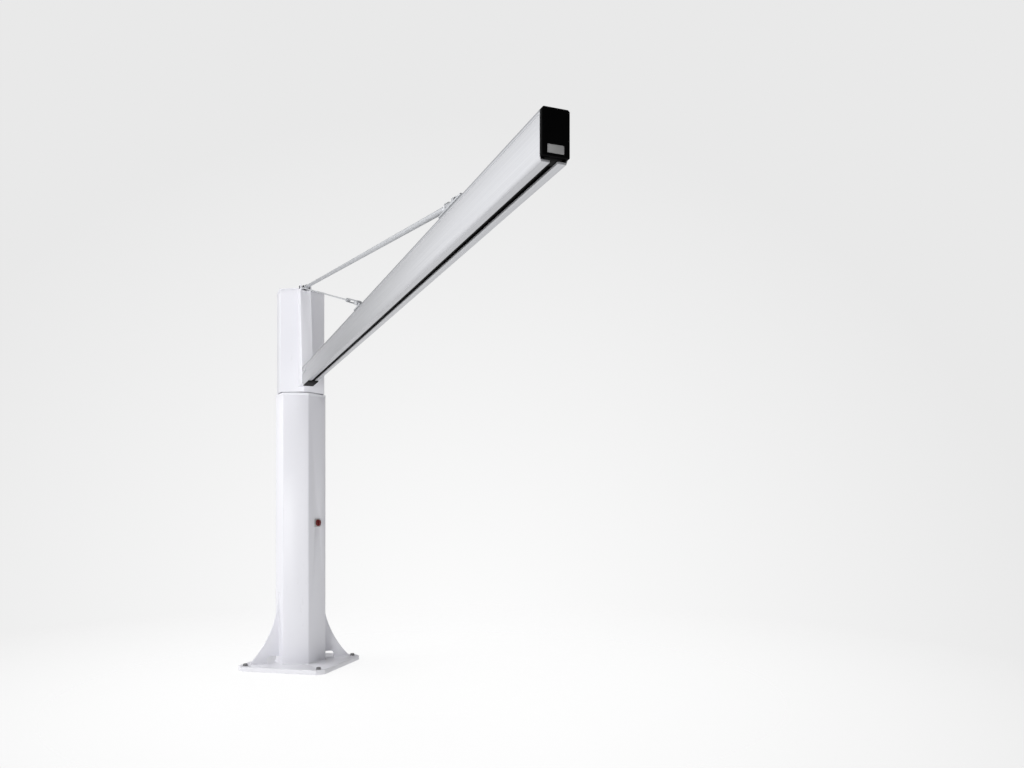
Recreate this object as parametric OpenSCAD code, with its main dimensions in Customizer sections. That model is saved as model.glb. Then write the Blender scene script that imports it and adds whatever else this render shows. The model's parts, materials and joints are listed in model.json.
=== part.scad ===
// Column-mounted slewing jib crane.
// A folded six-sided column on a square foot plate carries a turning head.
// The head holds a hollow track rail, steadied by a tie rod and a thinner stay.
// Millimetres, +Z up. The origin is the centre of the foot plate's underside,
// on the slewing axis. At rest the jib points along +X.

/* [Foot] */
// Side of the square foot plate
plate_side = 860; // [680:10:1030]
// Thickness of the foot plate
plate_thick = 40; // [25:1:60]
// Corner cut of the foot plate, along each side
plate_corner_cut = 60; // [20:5:90]
// Distance of the anchors from the plate's sides
anchor_margin = 67; // [55:1:80]
// Diameter of the anchor holes
anchor_hole = 28; // [18:1:34]
// Thickness of the two gussets
gusset_thick = 15; // [8:1:25]
// Height of the gussets above the foot plate
gusset_height = 650; // [400:5:850]
// Free space between a gusset and the middle of its anchor
anchor_space = 46; // [40:1:70]
// Width of the gussets at their upper end
gusset_tip = 8; // [5:1:20]
// Height of the square toe of the gussets
gusset_toe = 20; // [10:1:40]
// Width of the relief hole beside the column
relief_width = 120; // [70:5:160]
// Height of the relief hole
relief_height = 66; // [40:2:90]

/* [Column] */
// Column size across opposite corners
column_across = 470; // [390:5:570]
// Thickness of the column sheet
column_sheet = 6; // [4:0.5:10]
// Height of the column's top above the floor
column_top = 2540; // [2100:10:3200]
// Thickness of the plate that closes the column
top_plate_thick = 20; // [12:1:30]
// Turn of the column's front corner from the resting jib, in degrees
column_turn = 10; // [0:1:30]

/* [Slewing head] */
// Open gap between column and head
head_gap = 8; // [6:1:30]
// Height of the head's shell
head_height = 944; // [780:4:1200]
// Thickness of the head's sheet
head_sheet = 5; // [4:0.5:8]
// Thickness of the head's lid
lid_thick = 8; // [5:1:12]
// Overhang of the head's lid
lid_over = 4; // [2:1:12]
// Diameter of the fixed pivot post
pivot_dia = 110; // [80:2:150]
// Diameter of the pivot's upper journal
journal_dia = 70; // [40:2:76]
// Radial play of the plain bearings
bearing_play = 0.05; // [0.02:0.01:0.1]
// Wall of the bearing bushes
bush_wall = 12; // [8:1:20]
// Thickness of the bearing plates in the head
bearing_plate = 16; // [12:1:25]

/* [Front bracket] */
// How far the bracket stands out of the head's front corner at its upper end
bracket_out_above = 100; // [85:5:125]
// How far it stands out at the rail's height
bracket_out_below = 220; // [180:5:250]
// Thickness of the bracket sheet
bracket_sheet = 8; // [6:1:12]

/* [Rail] */
// Reach of the jib from the slewing axis to its outer end
jib_reach = 5810; // [4300:10:7000]
// Gap between the bracket and the rail's cut end
rail_gap = 50; // [35:5:90]
// Height of the rail's underside above the column's top
rail_rise = 31; // [28:1:60]
// Width of the rail
rail_width = 95; // [79:1:114]
// Height of the rail
rail_height = 165; // [137:1:198]
// Wall of the rail
rail_wall = 4.5; // [3.5:0.5:6]
// Width of the running slot
slot_width = 27; // [16:1:32]
// Height of the running channel inside
channel_height = 48; // [40:1:54]
// Thickness of the running flanges
flange_thick = 8; // [6:0.5:10]
// Width of the groove along the rail's top
groove_width = 16; // [10:1:20]
// Thickness of the rail's end caps
cap_thick = 18; // [10:1:30]
// Width of the light window in the outer cap
cap_window = 58; // [40:1:70]
// How far the root tongue reaches into the rail
tongue_reach = 240; // [150:10:400]
// Length of the trolley buffers
buffer_length = 45; // [20:5:80]
// Width of the trolley buffers
buffer_width = 60; // [40:2:70]

/* [Ties] */
// Tie rod's lower pin, back from the jib's outer end
tie_inset = 960; // [600:10:1200]
// Diameter of the tie rod
tie_dia = 27; // [20:1:34]
// Stay's lower pin, back from the tie rod's lower pin
stay_spacing = 1930; // [1400:10:2300]
// Diameter of the stay
stay_dia = 10; // [8:1:14]
// Height of the lower pins above the rail
pin_rise = 30; // [30:1:60]
// Diameter of the tie rod's pins
tie_pin = 18; // [14:1:21]
// Diameter of the stay's pins
stay_pin = 12; // [8:1:14]

/* [Main switch] */
// Height of the main switch above the floor
switch_height = 1340; // [1100:10:1600]
// Diameter of the switch knob
knob_dia = 62; // [45:1:75]
// Side of the switch's plate
switch_plate_side = 78; // [66:1:100]

/* [Hidden] */
$fn = 48;

white = [0.93, 0.93, 0.95];
grey = [0.72, 0.73, 0.75];
alloy = [0.80, 0.81, 0.83];
steel = [0.45, 0.46, 0.48];
bronze = [0.70, 0.55, 0.25];
black = [0.05, 0.05, 0.06];
red = [0.75, 0.05, 0.05];

eps = 0.01;                                   // small overlap inside one solid
past = 1;                                     // how far a cut passes its face

// foot
anchor_offset = plate_side / 2 - anchor_margin;
anchor_radius = sqrt(2) * anchor_offset;

// column and head
column_apothem = column_across / 2 * cos(30);
column_inner = column_across - 2 * column_sheet / cos(30);
gusset_reach = anchor_radius - anchor_space - column_apothem;
head_inner = column_across - 2 * head_sheet / cos(30);
shell_top = column_top - top_plate_thick;
head_bottom = column_top + head_gap;
head_top = head_bottom + head_height;
lid_across = column_across + 2 * lid_over;
head_corner = column_across / 2;

// pivot, from its diaphragm in the column to its nut in the head
pivot_foot = column_top - 220;
diaphragm = 12;
journal_z = head_top - 160;
journal_seat = 0.5;                           // play above the journal's shoulder
upper_z = journal_z + journal_seat;
nut_z = upper_z + bearing_plate + journal_seat;
nut_height = 24;
nut_across = journal_dia + 40;
post_top = nut_z + nut_height + 12;
thrust_inset = 14;                            // of the thrust ring behind the column's faces
thrust_dia = 2 * (column_apothem - thrust_inset);
lower_bush_height = 90;

// rail
rail_bottom = column_top + rail_rise;
rail_top = rail_bottom + rail_height;
bracket_upper = head_corner + bracket_out_above;
bracket_lower = head_corner + bracket_out_below;
rail_start = bracket_lower + rail_gap;
rail_end = jib_reach - cap_thick;
rail_half = rail_width / 2;
rail_inner = rail_width - 2 * rail_wall;
rail_chamfer = 6;
rail_foot_rise = 14;                          // height of the slant along its lower edges
rail_foot_inset = 5;                          // how far each slant leads inwards
channel_chamfer = 9;
channel_foot_rise = 10;                       // same slant inside, over the flanges
channel_foot_inset = 4;
chamber_floor = flange_thick + channel_height + rail_wall;
groove_depth = 12;                            // depth of the top groove's wide part
groove_undercut = 7;                          // how far it widens to each side
chamber_roof = rail_height - 2 * rail_wall - groove_depth;
line_groove_radius = 2.5;                     // fine groove along both sides
line_groove_drop = 20;                        // its distance below the rail's top
window_rise = 24;                             // light window above the rail's underside
window_height = 28;
window_depth = 5;
shoe_length = 300;                            // inner stop's shoe, under the rail's inner end
shoe_thick = 8;
shoe_play = 0.5;                              // beside its neck in the slot
tongue_gap = 0.5;                             // around the tongue in the chamber
tongue_wall = 8;

// pins of the ties
side_play = 0.4;                              // of an eye or fork beside a lug
pin_over = 7;                                 // how far a pin stands out of its lugs
tie_eye_dia = 2 * tie_pin + 4;
tie_socket_dia = tie_dia + 6;
tie_eye_width = tie_socket_dia + 3;
stay_eye_dia = 2 * stay_pin;
stay_socket_dia = stay_dia + 4;
tie_reach = jib_reach - tie_inset;
stay_reach = tie_reach - stay_spacing;
tie_x = head_corner + 65;
tie_z = head_top - 6;
bracket_gap = rail_width - 2 * bracket_sheet;
stay_x = tie_x + 52;
stay_z = tie_z - 16;
stay_shift = bracket_gap / 2 - side_play - stay_socket_dia / 2;  // beside the tie rod
low_pin_z = rail_top + pin_rise;
tie_drop = atan2(tie_z - low_pin_z, tie_reach - tie_x);
tie_length = norm([tie_reach - tie_x, tie_z - low_pin_z]);
stay_drop = atan2(stay_z - low_pin_z, stay_reach - stay_x);
stay_length = norm([stay_reach - stay_x, stay_z - low_pin_z]);

// tie rod's ends, along its line
tie_eye_reach = 90;                           // upper socket's end, from the upper pin
tie_fork_reach = 150;                         // lower socket's start, back from the lower pin
tie_fork_side = tie_pin + 20;
tie_fork_length = 60;

// stay's ends, along its line
stay_eye_reach = 50;
buckle_reach = 400;                           // turnbuckle's start, back from the lower pin
buckle_dia = 28;
buckle_boss = 40;                             // solid ends of its open body
buckle_opening = 14;
stay_fork_width = 30;
stay_fork_length = 60;

// saddles on the rail
saddle_base = 8;
tie_saddle_length = 300;
stay_saddle_length = 180;
lug_thick = 14;
tie_foot_lug = tie_pin;                       // radius of the lug around each lower pin
stay_foot_lug = stay_pin + 2;
lug_clear = 14;                               // between a lug and its fork's solid part
lug_back = 10;                                // how far a lug widens at its foot, inwards
lug_toe = 20;                                 // flat left in front of a lug

// front bracket
bracket_bottom = rail_bottom + 22;
bracket_head = rail_top + 30;
tie_lug = 32;                                 // radius around the tie rod's pin
stay_lug = 22;                                // radius around the stay's pin
lug_lean = atan2(tie_z - stay_z, stay_x - tie_x)
    + asin((tie_lug - stay_lug) / norm([tie_z - stay_z, stay_x - tie_x]));
bracket_neck = tie_z - tie_eye_dia / 2 - 14;  // where the sloping front ends

// main switch
box_side = 60;
box_depth = 42;
plate_sheet = 3;
spindle_dia = 12;
spindle_hold = 18;                            // length inside the box
knob_gap = 5;
knob_thick = 14;
grip_width = 14;
grip_rise = 16;
grip_inset = 4;

module six_sided(across, height) {
    cylinder(h = height, d = across, $fn = 6);
}

// Lies along the slewing plane: draws in X and Z, with its thickness centred on Y
module upright(thickness) {
    rotate([90, 0, 0]) translate([0, 0, -thickness / 2]) linear_extrude(thickness) children();
}

// ---- fixed part: foot, column and pivot ----

module base_plate() {
    half = plate_side / 2;
    c = plate_corner_cut;
    color(white) rotate([0, 0, column_turn + 45]) difference() {
        linear_extrude(plate_thick) polygon([
            [half - c, half], [-half + c, half], [-half, half - c], [-half, -half + c],
            [-half + c, -half], [half - c, -half], [half, -half + c], [half, half - c]]);
        for (x = [-1, 1], y = [-1, 1])
            translate([x * anchor_offset, y * anchor_offset, -past])
                cylinder(h = plate_thick + 2 * past, d = anchor_hole);
    }
}

module column_shell() {
    h = shell_top - plate_thick;
    color(white) difference() {
        rotate([0, 0, column_turn]) translate([0, 0, plate_thick]) difference() {
            six_sided(column_across, h);
            translate([0, 0, -past]) six_sided(column_inner, h + 2 * past);
        }
        on_switch_face() cube([box_side, box_side, 4 * column_sheet], center = true);
    }
}

// Round-topped hole past the gusset's inner lower corner
module relief() {
    r = relief_height / 2;
    translate([-past, -past]) square([relief_width - r + past, relief_height + past]);
    translate([relief_width - r, r]) circle(r = r);
    translate([relief_width - r, -past]) square([r, r + past]);
}

module gusset(side) {
    w = gusset_reach - gusset_tip;
    h = gusset_height - gusset_toe;
    r = (w * w + h * h) / (2 * w);
    color(white) rotate([0, 0, column_turn + side * 90])
        translate([column_apothem, 0, plate_thick]) upright(gusset_thick) difference() {
            square([gusset_reach, gusset_height]);
            translate([gusset_tip + r, gusset_height]) circle(r = r, $fn = 180);
            relief();
        }
}
module gusset_left() {
    gusset(1);
}
module gusset_right() {
    gusset(-1);
}

module column_top_plate() {
    color(white) translate([0, 0, shell_top]) difference() {
        rotate([0, 0, column_turn]) six_sided(column_across, top_plate_thick);
        translate([0, 0, -past]) cylinder(h = top_plate_thick + 2 * past, d = pivot_dia);
    }
}

module pivot_post() {
    color(steel) {
        translate([0, 0, pivot_foot]) cylinder(h = journal_z - pivot_foot, d = pivot_dia);
        translate([0, 0, journal_z - eps])
            cylinder(h = post_top - journal_z + eps, d = journal_dia);
        translate([0, 0, pivot_foot]) rotate([0, 0, column_turn])
            six_sided(column_inner, diaphragm);
    }
}

module thrust_ring() {
    color(steel) translate([0, 0, column_top]) difference() {
        cylinder(h = head_gap, d = thrust_dia);
        translate([0, 0, -past]) cylinder(h = head_gap + 2 * past, d = pivot_dia);
    }
}

module pivot_nut() {
    color(steel) translate([0, 0, nut_z]) difference() {
        six_sided(nut_across, nut_height);
        translate([0, 0, -past]) cylinder(h = nut_height + 2 * past, d = journal_dia);
    }
}

// ---- fixed part: main switch ----

module on_switch_face() {
    rotate([0, 0, column_turn + 30]) translate([column_apothem, 0, switch_height])
        rotate([0, 90, 0]) children();
}

module switch_plate() {
    color([0.85, 0.85, 0.82]) on_switch_face() difference() {
        translate([-switch_plate_side / 2, -switch_plate_side / 2, 0])
            cube([switch_plate_side, switch_plate_side, plate_sheet]);
        translate([0, 0, -past])
            cylinder(h = plate_sheet + 2 * past, d = spindle_dia + 2 * bearing_play);
    }
}

module switch_box() {
    color(black) on_switch_face() translate([0, 0, -box_depth]) difference() {
        translate([-box_side / 2, -box_side / 2, 0]) cube([box_side, box_side, box_depth]);
        translate([0, 0, box_depth / 2])
            cylinder(h = box_depth, d = spindle_dia + 2 * bearing_play);
    }
}

module switch_knob() {
    back = plate_sheet + knob_gap;
    grip = knob_dia - 2 * grip_inset;
    color(red) on_switch_face() {
        translate([0, 0, -spindle_hold]) cylinder(h = spindle_hold + back + past, d = spindle_dia);
        translate([0, 0, back]) cylinder(h = knob_thick, d = knob_dia);
        translate([-grip / 2, -grip_width / 2, back + knob_thick - past])
            cube([grip, grip_width, grip_rise + past]);
    }
}

// ---- turning part: head ----

module head_shell() {
    color(white) translate([0, 0, head_bottom]) difference() {
        six_sided(column_across, head_height);
        translate([0, 0, -past]) six_sided(head_inner, head_height + 2 * past);
    }
}

module head_lid() {
    color(grey) translate([0, 0, head_top]) six_sided(lid_across, lid_thick);
}

module bearing_floor(z, bore) {
    color(steel) translate([0, 0, z]) difference() {
        six_sided(head_inner, bearing_plate);
        translate([0, 0, -past])
            cylinder(h = bearing_plate + 2 * past, d = bore + 2 * bush_wall);
    }
}
module lower_bearing_plate() {
    bearing_floor(head_bottom, pivot_dia);
}
module upper_bearing_plate() {
    bearing_floor(upper_z, journal_dia);
}

module bush(z, bore, height) {
    color(bronze) translate([0, 0, z]) difference() {
        cylinder(h = height, d = bore + 2 * bush_wall);
        translate([0, 0, -past]) cylinder(h = height + 2 * past, d = bore + 2 * bearing_play);
    }
}
module lower_bush() {
    bush(head_bottom, pivot_dia, lower_bush_height);
}
module upper_bush() {
    bush(upper_z, journal_dia, bearing_plate);
}

// ---- turning part: front bracket ----

// Side plate: it carries the tie rod's pin and the stay's pin in two round lugs
module bracket_outline() {
    n = [sin(lug_lean), cos(lug_lean)];
    polygon([
        [head_corner / 2, bracket_bottom], [bracket_lower, bracket_bottom],
        [bracket_lower, bracket_head], [bracket_upper, bracket_neck],
        [stay_x + stay_lug, stay_z], [stay_x, stay_z] + stay_lug * n,
        [tie_x, tie_z] + tie_lug * n, [tie_x, head_top], [head_corner / 2, head_top]]);
    translate([stay_x, stay_z]) circle(r = stay_lug);
    translate([tie_x, tie_z]) circle(r = tie_lug);
}

// Sloping front, bent down to the rail's height
module bracket_front() {
    t = bracket_sheet;
    polygon([
        [bracket_lower, bracket_bottom], [bracket_lower, bracket_head],
        [bracket_upper, bracket_neck], [bracket_upper - t, bracket_neck],
        [bracket_lower - t, bracket_head], [bracket_lower - t, bracket_bottom]]);
}

module front_bracket() {
    color(white) difference() {
        union() {
            for (s = [-1, 1]) translate([0, s * (rail_width - bracket_sheet) / 2, 0])
                upright(bracket_sheet) bracket_outline();
            upright(bracket_gap + 2 * eps) bracket_front();
            translate([head_corner / 2, -bracket_gap / 2 - eps, bracket_bottom])
                cube([bracket_lower - head_corner / 2, bracket_gap + 2 * eps, bracket_sheet]);
        }
        translate([0, 0, head_bottom]) six_sided(column_across, head_height + past);
        translate([0, 0, head_top]) six_sided(lid_across, tie_lug + past);
        translate([tie_x, 0, tie_z]) cross_pin(tie_pin, rail_width + 2 * past);
        translate([stay_x, -rail_half, stay_z]) cross_pin(stay_pin, rail_width);
    }
}

// Square tube on the bracket that plugs into the rail's upper chamber
module rail_tongue() {
    w = rail_inner - 2 * tongue_gap;
    h = chamber_roof - chamber_floor - tongue_gap;
    length = rail_start + tongue_reach - bracket_lower;
    color(steel) translate([bracket_lower, -w / 2, rail_bottom + chamber_floor]) difference() {
        cube([length, w, h]);
        translate([-past, tongue_wall, tongue_wall])
            cube([length + 2 * past, w - 2 * tongue_wall, h - 2 * tongue_wall]);
    }
}

// ---- turning part: rail ----

// Outline of the rail: upper corners chamfered, sides slanting inwards at the foot
module rail_outline() {
    c = rail_chamfer;
    foot = rail_half - rail_foot_inset;
    polygon([
        [-foot, 0], [foot, 0], [rail_half, rail_foot_rise], [rail_half, rail_height - c],
        [rail_half - c, rail_height], [-rail_half + c, rail_height],
        [-rail_half, rail_height - c], [-rail_half, rail_foot_rise]]);
}

// The end caps leave the slanting foot free
module cap_outline() {
    difference() {
        rail_outline();
        translate([-rail_half - past, -past])
            square([rail_width + 2 * past, rail_foot_rise + past]);
    }
}

module rail_profile() {
    difference() {
        rail_outline();
        channel();
        chamber();
        top_groove();
        for (s = [-1, 1]) translate([s * rail_half, rail_height - line_groove_drop])
            circle(r = line_groove_radius);
    }
}

// Running channel for a trolley, open downwards through the slot
module channel() {
    w = rail_inner / 2;
    c = channel_chamfer;
    foot = w - channel_foot_inset;
    low = flange_thick + channel_foot_rise;
    top = flange_thick + channel_height;
    translate([-slot_width / 2, -past]) square([slot_width, flange_thick + 2 * past]);
    polygon([[-foot, flange_thick], [foot, flange_thick], [w, low], [w, top - c],
             [w - c, top], [-w + c, top], [-w, top - c], [-w, low]]);
}

module chamber() {
    translate([-rail_inner / 2, chamber_floor])
        square([rail_inner, chamber_roof - chamber_floor]);
}

// Groove that takes the saddles' bolt heads
module top_groove() {
    wide = groove_width + 2 * groove_undercut;
    translate([-groove_width / 2, rail_height - rail_wall - past])
        square([groove_width, rail_wall + 2 * past]);
    translate([-wide / 2, rail_height - rail_wall - groove_depth])
        square([wide, groove_depth]);
}

module jib_rail() {
    color(alloy) translate([rail_start, 0, rail_bottom]) rotate([90, 0, 90])
        linear_extrude(rail_end - rail_start) rail_profile();
}

module inner_end_cap() {
    color(black) translate([rail_start - cap_thick, 0, rail_bottom]) rotate([90, 0, 90])
        linear_extrude(cap_thick) difference() {
            cap_outline();
            chamber();
        }
}

module outer_end_cap() {
    color(black) translate([rail_end, 0, rail_bottom]) rotate([90, 0, 90]) difference() {
        linear_extrude(cap_thick) cap_outline();
        translate([-cap_window / 2, window_rise, cap_thick - window_depth])
            cube([cap_window, window_height, window_depth + past]);
    }
}

module buffer(x) {
    color(black) translate([x, -buffer_width / 2, rail_bottom + flange_thick])
        cube([buffer_length, buffer_width, channel_height - channel_chamfer]);
}

// The inner stop also has a shoe under the rail, on a neck through the slot
module inner_buffer() {
    neck = slot_width - 2 * shoe_play;
    wide = rail_width - 2 * rail_foot_inset;
    buffer(rail_start);
    color(black) {
        translate([rail_start, -neck / 2, rail_bottom - eps])
            cube([buffer_length, neck, flange_thick + 2 * eps]);
        translate([rail_start, -wide / 2, rail_bottom - shoe_thick])
            cube([shoe_length, wide, shoe_thick]);
    }
}
module outer_buffer() {
    buffer(rail_end - buffer_length);
}

// ---- turning part: ties ----

module on_tie() {
    translate([tie_x, 0, tie_z]) rotate([0, tie_drop, 0]) children();
}
module on_stay() {
    translate([stay_x, -stay_shift, stay_z]) rotate([0, stay_drop, 0]) children();
}
module bar(from, to, dia) {
    translate([from, 0, 0]) rotate([0, 90, 0]) cylinder(h = to - from, d = dia);
}
module cross_pin(dia, width) {
    rotate([90, 0, 0]) cylinder(h = width, d = dia, center = true);
}

module tie_rod() {
    color(grey) on_tie() bar(tie_eye_reach, tie_length - tie_fork_reach, tie_dia);
}

module tie_upper_eye() {
    color(steel) on_tie() difference() {
        union() {
            cross_pin(tie_eye_dia, tie_eye_width);
            bar(tie_pin, tie_eye_reach, tie_socket_dia);
        }
        cross_pin(tie_pin, rail_width);
    }
}

module tie_lower_fork() {
    side = tie_fork_side;
    start = tie_length - tie_fork_length;
    color(steel) on_tie() difference() {
        union() {
            translate([tie_length, 0, 0]) cross_pin(side, side);
            translate([start, -side / 2, -side / 2]) cube([tie_fork_length, side, side]);
            bar(tie_length - tie_fork_reach, start + past, tie_socket_dia);
        }
        fork_slot(tie_length, tie_foot_lug + lug_clear, side);
        translate([tie_length, 0, 0]) cross_pin(tie_pin, rail_width);
    }
}

// Slot of a fork, which starts behind the pin and runs past the fork's end
module fork_slot(pin_at, behind, side) {
    wide = lug_thick + 2 * side_play;
    translate([pin_at - behind, -wide / 2, -side]) cube([behind + side, wide, 2 * side]);
}

// Plate on the rail with a lug for a pin. The lug stands to one side by shift
module saddle(x, length, pin, lug_radius, shift) {
    foot_top = rail_top + saddle_base;
    difference() {
        union() {
            translate([x - length / 2, -rail_half, rail_top])
                cube([length, rail_width, saddle_base]);
            translate([0, -shift, 0]) upright(lug_thick) {
                translate([x, low_pin_z]) circle(r = lug_radius);
                polygon([
                    [x - lug_radius, low_pin_z], [x + lug_radius, low_pin_z],
                    [x + length / 2 - lug_toe, foot_top - eps],
                    [x - lug_radius - lug_back, foot_top - eps]]);
            }
        }
        translate([x, -shift, low_pin_z]) cross_pin(pin, rail_width);
    }
}

module tie_saddle() {
    color(grey) saddle(tie_reach, tie_saddle_length, tie_pin, tie_foot_lug, 0);
}

module tie_pins() {
    color(steel) {
        translate([tie_x, 0, tie_z]) cross_pin(tie_pin, rail_width + 2 * pin_over);
        translate([tie_reach, 0, low_pin_z]) cross_pin(tie_pin, tie_fork_side + 2 * pin_over);
    }
}

module stay_rod() {
    color(grey) on_stay() bar(stay_eye_reach, stay_length - buckle_reach, stay_dia);
}

module stay_upper_eye() {
    color(steel) on_stay() difference() {
        union() {
            cross_pin(stay_eye_dia, stay_socket_dia);
            bar(stay_pin * 2 / 3, stay_eye_reach, stay_socket_dia);
        }
        cross_pin(stay_pin, rail_width);
    }
}

// Open-bodied turnbuckle with a fork
module stay_turnbuckle() {
    body = stay_length - buckle_reach;
    start = stay_length - stay_fork_length;
    opening = start - body - 2 * buckle_boss;
    wide = stay_fork_width;
    color(steel) on_stay() difference() {
        union() {
            bar(body, start + past, buckle_dia);
            translate([start, -wide / 2, -buckle_dia / 2])
                cube([stay_fork_length, wide, buckle_dia]);
            translate([stay_length, 0, 0]) cross_pin(buckle_dia, wide);
        }
        translate([body + buckle_boss, -wide, -buckle_opening / 2])
            cube([opening, 2 * wide, buckle_opening]);
        fork_slot(stay_length, stay_foot_lug + lug_clear, buckle_dia);
        translate([stay_length, 0, 0]) cross_pin(stay_pin, rail_width);
    }
}

module stay_saddle() {
    color(grey) saddle(stay_reach, stay_saddle_length, stay_pin, stay_foot_lug, stay_shift);
}

// The stay's upper pin is short: it hangs on one side of the bracket
module stay_pins() {
    outer = rail_half + pin_over;
    inner = stay_shift - stay_socket_dia / 2;
    color(steel) {
        translate([stay_x, -(inner + outer) / 2, stay_z]) cross_pin(stay_pin, outer - inner);
        translate([stay_reach, -stay_shift, low_pin_z])
            cross_pin(stay_pin, stay_fork_width + 2 * pin_over);
    }
}

base_plate();
column_shell();
gusset_left();
gusset_right();
column_top_plate();
pivot_post();
thrust_ring();
pivot_nut();
switch_plate();
switch_box();
switch_knob();
head_shell();
head_lid();
lower_bearing_plate();
upper_bearing_plate();
lower_bush();
upper_bush();
front_bracket();
rail_tongue();
jib_rail();
inner_end_cap();
outer_end_cap();
inner_buffer();
outer_buffer();
tie_rod();
tie_upper_eye();
tie_lower_fork();
tie_saddle();
tie_pins();
stay_rod();
stay_upper_eye();
stay_turnbuckle();
stay_saddle();
stay_pins();
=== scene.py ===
import json
import math
import random

import bmesh
import bpy
from mathutils import Matrix, Vector


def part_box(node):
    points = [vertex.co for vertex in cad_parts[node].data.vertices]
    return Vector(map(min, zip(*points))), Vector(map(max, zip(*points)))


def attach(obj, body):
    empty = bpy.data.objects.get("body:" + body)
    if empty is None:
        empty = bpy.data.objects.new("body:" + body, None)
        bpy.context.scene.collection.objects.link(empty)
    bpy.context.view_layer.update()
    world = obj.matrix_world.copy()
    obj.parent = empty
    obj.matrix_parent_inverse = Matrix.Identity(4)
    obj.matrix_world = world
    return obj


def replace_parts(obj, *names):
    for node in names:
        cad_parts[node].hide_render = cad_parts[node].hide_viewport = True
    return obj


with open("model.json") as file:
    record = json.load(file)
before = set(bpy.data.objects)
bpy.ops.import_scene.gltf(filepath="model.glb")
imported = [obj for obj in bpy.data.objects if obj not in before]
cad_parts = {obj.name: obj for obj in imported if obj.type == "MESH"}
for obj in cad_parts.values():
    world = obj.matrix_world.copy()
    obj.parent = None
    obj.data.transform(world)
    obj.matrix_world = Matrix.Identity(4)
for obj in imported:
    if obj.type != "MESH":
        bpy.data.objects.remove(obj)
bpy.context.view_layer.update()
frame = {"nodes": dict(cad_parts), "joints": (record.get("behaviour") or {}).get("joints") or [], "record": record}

# Column-mounted slewing jib crane, in metres: the jib points along +X, the slewing axis is +Z.
chance = random.Random(417)
up = Vector((0, 0, 1))
flatShare = math.cos(math.radians(30))  # middle to a hexagon's side, over middle to corner

# places read from the frame
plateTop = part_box("base_plate")[1].z
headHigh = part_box("head_shell")[1]
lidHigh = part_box("head_lid")[1]
railLow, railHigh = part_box("jib_rail")
bracketLow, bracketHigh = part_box("front_bracket")
cornerReach = headHigh.x
faceReach = cornerReach * flatShare
joints = {joint["name"]: joint for joint in frame["joints"]}
switchAxis = Vector(joints["switch_turn"]["axis"]).normalized()
switchPlace = Vector(joints["switch_turn"]["pos_m"])
columnTurn = math.atan2(switchAxis.y, switchAxis.x) - math.radians(30)
anchors = next(m for m in frame["record"]["mounts"] if m["name"] == "anchors")["dims"]
print("frame read")


# node materials

def bareFinish(name):
    finish = bpy.data.materials.new(name)
    finish.use_nodes = True
    tree = finish.node_tree
    tree.nodes.clear()
    return finish, tree, tree.nodes.new("ShaderNodeOutputMaterial")


def newFinish(name):
    finish, tree, out = bareFinish(name)
    shader = tree.nodes.new("ShaderNodeBsdfPrincipled")
    tree.links.new(shader.outputs[0], out.inputs["Surface"])
    return finish, tree, shader


def grain(tree, scale, stretch=(1, 1, 1), detail=3.0, rough=0.5):  # noise over the object's own metres
    place = tree.nodes.new("ShaderNodeTexCoord")
    mapping = tree.nodes.new("ShaderNodeMapping")
    mapping.inputs["Scale"].default_value = stretch
    noise = tree.nodes.new("ShaderNodeTexNoise")
    noise.inputs["Scale"].default_value = scale
    noise.inputs["Detail"].default_value = detail
    noise.inputs["Roughness"].default_value = rough
    tree.links.new(place.outputs["Object"], mapping.inputs["Vector"])
    tree.links.new(mapping.outputs["Vector"], noise.inputs["Vector"])
    return noise.outputs["Fac"]


def along(tree, axis, low, high):  # 0 at low and 1 at high along one axis, in metres
    place = tree.nodes.new("ShaderNodeTexCoord")
    parts = tree.nodes.new("ShaderNodeSeparateXYZ")
    tree.links.new(place.outputs["Object"], parts.inputs[0])
    return ranged(tree, parts.outputs[axis], low, high, 0.0, 1.0)


def ranged(tree, value, low, high, toLow, toHigh):
    node = tree.nodes.new("ShaderNodeMapRange")
    node.inputs["From Min"].default_value = low
    node.inputs["From Max"].default_value = high
    node.inputs["To Min"].default_value = toLow
    node.inputs["To Max"].default_value = toHigh
    tree.links.new(value, node.inputs["Value"])
    return node.outputs["Result"]


def times(tree, first, second):
    node = tree.nodes.new("ShaderNodeMath")
    node.operation = "MULTIPLY"
    tree.links.new(first, node.inputs[0])
    tree.links.new(second, node.inputs[1])
    return node.outputs[0]


def blendOf(tree, amount, first, second):  # a colour between two others; first may be a socket
    node = tree.nodes.new("ShaderNodeMix")
    node.data_type = "RGBA"
    tree.links.new(amount, node.inputs["Factor"])
    for value, socket in ((first, node.inputs[6]), (second, node.inputs[7])):
        if isinstance(value, tuple):
            socket.default_value = (*value, 1)
        else:
            tree.links.new(value, socket)
    return node.outputs[2]


def relief(tree, shader, heights):  # each height is (socket, depth in metres)
    last = None
    for height, depth in heights:
        node = tree.nodes.new("ShaderNodeBump")
        node.inputs["Distance"].default_value = depth
        node.inputs["Strength"].default_value = 1.0
        tree.links.new(height, node.inputs["Height"])
        if last:
            tree.links.new(last, node.inputs["Normal"])
        last = node.outputs["Normal"]
    tree.links.new(last, shader.inputs["Normal"])


noiseSpan = (0.3, 0.7)  # where most values of a noise lie


def roughen(tree, shader, noise, low, high):
    gloss = ranged(tree, noise, *noiseSpan, low, high)
    tree.links.new(gloss, shader.inputs["Roughness"])


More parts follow.
